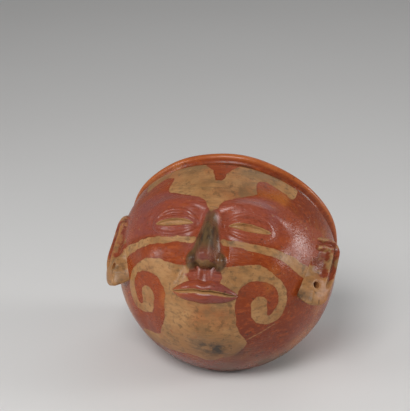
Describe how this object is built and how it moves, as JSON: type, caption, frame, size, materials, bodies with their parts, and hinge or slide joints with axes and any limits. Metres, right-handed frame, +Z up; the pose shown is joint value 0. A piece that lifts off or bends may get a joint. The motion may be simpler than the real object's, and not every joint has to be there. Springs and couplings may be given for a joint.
{
  "type": "head-shaped ceramic vessel",
  "caption": "Hollow round pottery head lying tilted back, with a rolled lip round its wide mouth, modelled features and two pierced ears.",
  "frame": {"origin": "centre of the flat foot, on the surface that the vessel rests on", "axes": "+Z up, the face towards -Y and upwards, the vessel's own left side towards +X, and its mouth backwards and up between +Y and +Z"},
  "size_m": [0.1627, 0.1428, 0.1538],
  "materials": {
    "red_slip": "burnished",
    "cream_slip": "burnished",
    "rose_slip": "burnished",
    "dark_patina": "burnished",
    "bare_clay": "matte"
  },
  "bodies": {
    "root": {"face_shell": "red_slip", "back_shell": "red_slip", "rim_lip": "red_slip", "rim_coil": "bare_clay", "base_disc": "bare_clay", "base_coil": "bare_clay", "seam_coil": "bare_clay", "nose": "dark_patina", "left_eye": "cream_slip", "right_eye": "cream_slip", "left_upper_lid": "rose_slip", "right_upper_lid": "rose_slip", "left_lower_lid": "rose_slip", "right_lower_lid": "rose_slip", "upper_lip": "rose_slip", "lower_lip": "rose_slip", "left_ear": "cream_slip", "right_ear": "cream_slip"}
  },
  "joints": []
}
